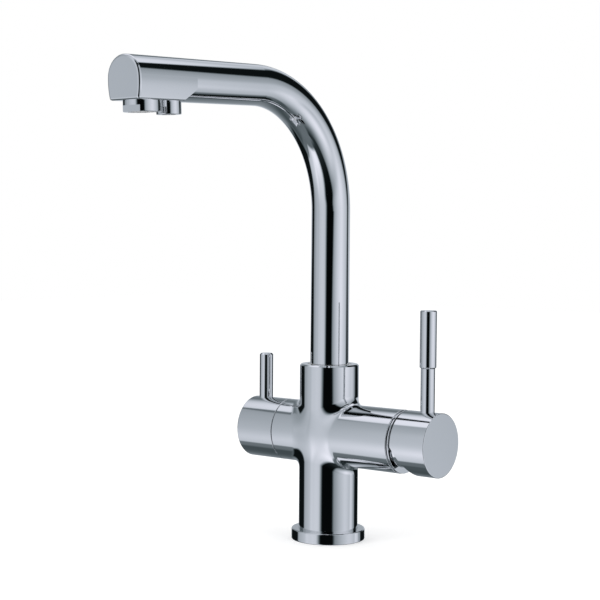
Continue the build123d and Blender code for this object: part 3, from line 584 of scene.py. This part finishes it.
class Skin:
    """A mesh in the making, whose equal points are shared."""

    def __init__(self):
        self.points = []
        self.places = {}
        self.faces = []
        self.normals = []

    def index(self, point):
        key = tuple(round(value, POINT_DIGITS) for value in point)
        if key not in self.places:
            self.places[key] = len(self.points)
            self.points.append(point)
        return self.places[key]

    def add_face(self, corners):
        """Add a face of the skin, turned outwards."""
        numbers = []
        for corner in corners:
            number = self.index(corner)
            if number not in numbers:
                numbers.append(number)
        if len(numbers) < 3:
            return
        a, b, c = (Vector(self.points[number]) for number in (numbers[0], numbers[1], numbers[-1]))
        if (b - a).cross(c - a).dot(blend_normal(a)) < 0:
            numbers.reverse()
        self.faces.append(numbers)
        self.normals += [blend_normal(self.points[number]) for number in numbers]

    def add_grid(self, rows):
        """Add the faces between neighbouring rows of points."""
        for row, following in zip(rows, rows[1:]):
            for number in range(len(row) - 1):
                ahead = number + 1
                self.add_face((row[number], row[ahead], following[ahead], following[number]))

    def add_own_face(self, mesh, polygon):
        """Carry over a face of the solid with its own normals."""
        first = len(self.points)
        self.points += [tuple(mesh.vertices[number].co) for number in polygon.vertices]
        self.faces.append(list(range(first, len(self.points))))
        self.normals += [mesh.corner_normals[loop].vector.copy() for loop in polygon.loop_indices]


def column_rows(up, end):
    """Rows of points round the column, each from the seam up or down to a height."""
    columns = []
    for number in range(TURN_STEPS + 1):
        angle = turn_angle(number)
        seam = seam_point(angle, 1, up)
        way = (math.cos(angle), math.sin(angle), 0)
        heights = steps_between(seam[2], end, BLEND_STEPS, COLUMN_EASE)
        columns.append([seam] + [skin_point((0, 0, height), way) for height in heights[1:]])
    return columns


def plain_columns(heights):
    """Rows of points round the plain part of the column, each at the same heights."""
    angles = [turn_angle(number) for number in range(TURN_STEPS + 1)]
    return [[column_point(angle, height) for height in heights] for angle in angles]


def add_latch_patch(skin):
    """Add the column's wall round the latch screw's hole, at its back. Gives its heights."""
    half = LATCH_PATCH_STEPS
    step = 2 * math.pi / TURN_STEPS
    height = half * step * COLUMN_R
    heights = steps_between(LATCH_HEIGHT - height, LATCH_HEIGHT + height, 2 * half)
    turns = range(-half, half + 1)
    border = [(turn, heights[0]) for turn in turns[:-1]]
    border += [(half, level) for level in heights[:-1]]
    border += [(turn, heights[-1]) for turn in turns[:0:-1]]
    border += [(-half, level) for level in heights[:0:-1]]
    outer, inner = [], []
    for turn, level in border + border[:1]:
        angle = math.pi / 2 - turn * step
        outer.append(column_point(angle, level))
        around = math.atan2(level - LATCH_HEIGHT, turn * step * COLUMN_R)
        x = LATCH_HOLE_R * math.cos(around)
        y = math.sqrt(COLUMN_R ** 2 - x ** 2)
        inner.append((x, y, LATCH_HEIGHT + LATCH_HOLE_R * math.sin(around)))
    skin.add_grid([outer, inner])
    return heights


def add_upper_column(skin):
    """Add the column's skin from the seam to the bevel of its collar."""
    skin.add_grid(column_rows(1, BLEND_TOP))
    window = add_latch_patch(skin)
    skin.add_grid(plain_columns([BLEND_TOP, window[0]]))
    skin.add_grid(plain_columns([window[-1], COLLAR_BEVEL_START]))
    middle = plain_columns(window)
    skin.add_grid(middle[:QUARTER_TURN - LATCH_PATCH_STEPS + 1])
    skin.add_grid(middle[QUARTER_TURN + LATCH_PATCH_STEPS:])


def arm_ways():
    """The rows round the arm: those that start on the seam, and those that go straight across
    the short strips at the back and front, where the arm is wider than the column."""
    angles = [turn_angle(number) for number in range(-QUARTER_TURN, QUARTER_TURN + 1)]
    top = [("seam", angle, 1) for angle in angles]
    bottom = [("seam", angle, -1) for angle in reversed(angles)]
    edge = math.acos(SEAM_COLUMN_R / SEAM_ARM_R)
    strip = steps_between(edge, -edge, STRIP_STEPS)[1:-1]
    back = [("strip", angle, 1) for angle in strip]
    front = [("strip", angle, -1) for angle in reversed(strip)]
    return top + back + bottom + front + top[:1]


def arm_rows(side, reach):
    """Rows of points along one arm, from the seam or the middle to a distance."""
    rows = []
    for kind, angle, turn in arm_ways():
        if kind == "seam":
            start = seam_point(angle, side, turn)
            way = (0, start[1] / SEAM_ARM_R, (start[2] - ARM_HEIGHT) / SEAM_ARM_R)
        else:
            way = (0, turn * math.cos(angle), math.sin(angle))
            start = skin_point((0, 0, ARM_HEIGHT), way)
        places = steps_between(start[0], side * BLEND_REACH, BLEND_STEPS, ARM_EASE)[1:]
        row = [skin_point((place, 0, ARM_HEIGHT), way) for place in places]
        end = (reach, ARM_R * way[1], ARM_HEIGHT + ARM_R * way[2])
        rows.append([start] + row + [end])
    return rows


def on_plain_skin(point):
    """Whether a corner of the solid lies on the outer face that the blended skin stands for."""
    between = FILTER_ARM_SIDE - EDGE_SLACK < point[0] < MIXER_ARM_SIDE + EDGE_SLACK
    below = point[2] < COLLAR_BEVEL_START + EDGE_SLACK
    return between and below and min(plain_levels(point)) > -SKIN_SLACK


def blended_casting():
    """The column and arms as one smooth polished form, with the solid's own bores and ends."""
    solid = frame["nodes"]["body_casting"].data
    skin = Skin()
    add_upper_column(skin)
    skin.add_grid(column_rows(-1, BLEND_FOOT))
    skin.add_grid(plain_columns([BLEND_FOOT, 0.0]))
    skin.add_grid(arm_rows(1, MIXER_ARM_SIDE))
    skin.add_grid(arm_rows(-1, FILTER_ARM_SIDE))
    for polygon in solid.polygons:
        if not all(on_plain_skin(solid.vertices[number].co) for number in polygon.vertices):
            skin.add_own_face(solid, polygon)
    mesh = bpy.data.meshes.new("blended_casting")
    mesh.from_pydata(skin.points, [], skin.faces)
    mesh.shade_smooth()
    mesh.normals_split_custom_set(skin.normals)
    piece = bpy.data.objects.new("blended_casting", mesh)
    bpy.context.scene.collection.objects.link(piece)
    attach(piece, "tap_body")
    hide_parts("body_casting")
    return piece


def dress_nodes(materials):
    """Give each piece of the CAD model the material of its slot."""
    for subpart in frame["record"]["subparts"]:
        node = frame["nodes"][subpart["node"]]
        node.data.materials.clear()
        node.data.materials.append(materials[subpart["material_slot"]])


bpy.context.scene.view_settings.view_transform = "Standard"
make_camera()
plain_world()
light_tent()
pale_floor()
for lamp in LAMPS:
    soft_lamp(*lamp)
materials = slot_materials()
dress_nodes(materials)
blended_casting().data.materials.append(materials["polished_chrome"])
